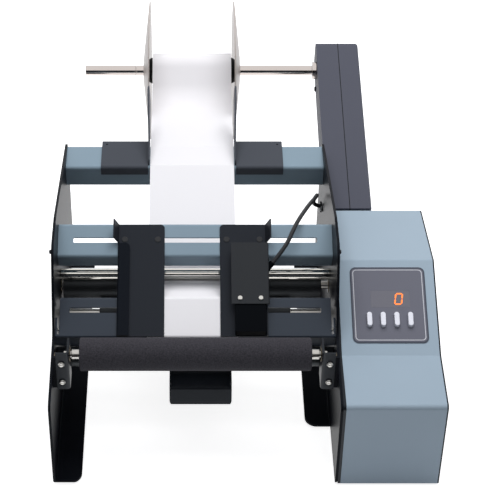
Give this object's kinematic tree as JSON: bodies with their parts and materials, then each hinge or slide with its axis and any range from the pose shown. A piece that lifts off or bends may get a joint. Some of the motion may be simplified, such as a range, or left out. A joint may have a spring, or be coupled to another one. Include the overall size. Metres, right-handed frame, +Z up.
{
  "type": "pouch labeler",
  "caption": "Table-top pouch labeler: open frame with a sloping deck, adjustable guides, rollers, a supply spindle with a label roll on an arm, and a side control box.",
  "frame": {"origin": "on the table, under the middle of the whole machine's bounding box", "axes": "+X to the machine's right, towards the control box; +Y to the rear, towards the label roll; +Z up"},
  "size_m": [0.4538, 0.6832, 0.2642],
  "materials": {
    "blue_grey_paint": "satin",
    "black_paint": "satin",
    "arm_plastic": "satin",
    "chrome": "polished",
    "steel": "satin",
    "bronze": "satin",
    "disc_paint": "satin",
    "black_plastic": "satin",
    "smoked_window": "gloss",
    "white_key": "gloss",
    "board": "satin",
    "pulley": "satin",
    "rubber": "matte",
    "foam": "matte",
    "card": "matte",
    "paper": "matte"
  },
  "bodies": {
    "frame": {"left_side_plate": "black_paint", "right_side_plate": "black_paint", "rubber_feet": "rubber", "frame_screws": "steel", "rear_crossbar": "blue_grey_paint", "slotted_crossbar": "blue_grey_paint", "peel_channel": "black_paint", "guide_rod": "chrome", "lower_tie": "black_paint", "lower_tray": "black_paint", "pan_screws": "steel", "shaft_bushes": "bronze", "roller_bracket_left": "black_paint", "roller_bracket_right": "black_paint", "control_chassis": "black_paint", "control_cover": "blue_grey_paint", "control_end_plate": "black_paint", "keypad_panel": "black_plastic", "display_window": "smoked_window", "circuit_board": "board", "power_inlet": "black_plastic", "switch_frame": "black_plastic", "motor": "black_plastic", "drive_belt": "rubber", "arm_inner_half": "arm_plastic", "arm_outer_half": "arm_plastic", "label_strip": "paper", "sensor_cable": "rubber", "cable_grommet": "rubber"},
    "drive_roller": {"drive_roller_sleeve": "rubber", "drive_roller_shaft": "steel", "drive_pulley": "pulley"},
    "pinch_roller": {"pinch_roller_sleeve": "rubber", "pinch_roller_shaft": "steel"},
    "foam_roller": {"foam_roller_sleeve": "foam", "foam_roller_shaft": "steel"},
    "feed_roller": {"feed_roller_sleeve": "rubber", "feed_roller_shaft": "steel"},
    "motor_rotor": {"motor_pulley": "pulley"},
    "supply_spindle": {"spindle": "steel", "label_core": "card", "label_roll": "paper"},
    "left_disc": {"disc_left": "disc_paint", "hub_left": "black_plastic"},
    "right_disc": {"disc_right": "disc_paint", "hub_right": "black_plastic"},
    "left_strip_guide": {"strip_guide_left": "black_paint"},
    "right_strip_guide": {"strip_guide_right": "black_paint"},
    "left_pouch_guide": {"pouch_guide_left": "black_paint", "guide_clamps_left": "steel"},
    "right_pouch_guide": {"pouch_guide_right": "black_paint", "guide_clamps_right": "steel", "sensor_body": "black_plastic", "sensor_cover": "black_paint", "sensor_screws": "steel"},
    "power_rocker": {"switch_rocker": "black_plastic"},
    "key_1": {"key_1": "white_key"},
    "key_2": {"key_2": "white_key"},
    "key_3": {"key_3": "white_key"},
    "key_4": {"key_4": "white_key"}
  },
  "joints": [
    {"name": "drive_roller_turn", "type": "hinge", "parent": "frame", "child": "drive_roller", "pos_m": [-0.05585, -0.12048, 0.11408], "axis": [1, 0, 0], "continuous": true},
    {"name": "pinch_roller_turn", "type": "hinge", "parent": "frame", "child": "pinch_roller", "pos_m": [-0.05585, -0.14533, 0.09058], "axis": [1, 0, 0], "continuous": true},
    {"name": "foam_roller_turn", "type": "hinge", "parent": "frame", "child": "foam_roller", "pos_m": [-0.05585, -0.27958, 0.152], "axis": [1, 0, 0], "continuous": true},
    {"name": "feed_roller_turn", "type": "hinge", "parent": "frame", "child": "feed_roller", "pos_m": [-0.05585, -0.2631, 0.12899], "axis": [1, 0, 0], "continuous": true},
    {"name": "motor_turn", "type": "hinge", "parent": "frame", "child": "motor_rotor", "pos_m": [0.12115, -0.19158, 0.061], "axis": [1, 0, 0], "continuous": true},
    {"name": "spindle_turn", "type": "hinge", "parent": "frame", "child": "supply_spindle", "pos_m": [-0.05585, 0.24842, 0.171], "axis": [1, 0, 0], "continuous": true},
    {"name": "left_disc_slide", "type": "slide", "parent": "supply_spindle", "child": "left_disc", "axis": [-1, 0, 0], "range_m": [0, 0.06]},
    {"name": "right_disc_slide", "type": "slide", "parent": "supply_spindle", "child": "right_disc", "axis": [1, 0, 0], "range_m": [0, 0.08]},
    {"name": "left_strip_guide_slide", "type": "slide", "parent": "frame", "child": "left_strip_guide", "axis": [-1, 0, 0], "range_m": [0, 0.042]},
    {"name": "right_strip_guide_slide", "type": "slide", "parent": "frame", "child": "right_strip_guide", "axis": [1, 0, 0], "range_m": [0, 0.045]},
    {"name": "left_pouch_guide_slide", "type": "slide", "parent": "frame", "child": "left_pouch_guide", "axis": [1, 0, 0], "range_m": [-0.058, 0.034]},
    {"name": "right_pouch_guide_slide", "type": "slide", "parent": "frame", "child": "right_pouch_guide", "axis": [1, 0, 0], "range_m": [-0.025, 0.058], "deforming": ["sensor_cable"]},
    {"name": "power_rocker_tilt", "type": "hinge", "parent": "frame", "child": "power_rocker", "pos_m": [0.15815, -0.01558, 0.041], "axis": [1, 0, 0], "range_deg": [0, 18]},
    {"name": "key_1_press", "type": "slide", "parent": "frame", "child": "key_1", "axis": [0, 0.3424, -0.9396], "range_m": [0, 0.0012], "stiffness_N_per_m": 400, "springref_m": -0.001},
    {"name": "key_2_press", "type": "slide", "parent": "frame", "child": "key_2", "axis": [0, 0.3424, -0.9396], "range_m": [0, 0.0012], "stiffness_N_per_m": 400, "springref_m": -0.001},
    {"name": "key_3_press", "type": "slide", "parent": "frame", "child": "key_3", "axis": [0, 0.3424, -0.9396], "range_m": [0, 0.0012], "stiffness_N_per_m": 400, "springref_m": -0.001},
    {"name": "key_4_press", "type": "slide", "parent": "frame", "child": "key_4", "axis": [0, 0.3424, -0.9396], "range_m": [0, 0.0012], "stiffness_N_per_m": 400, "springref_m": -0.001}
  ],
  "couplings": [
    {"joint": "pinch_roller_turn", "follows": "drive_roller_turn", "ratio": -1.2},
    {"joint": "motor_turn", "follows": "drive_roller_turn", "ratio": 2.5},
    {"joint": "feed_roller_turn", "follows": "foam_roller_turn", "ratio": -2.1111}
  ]
}
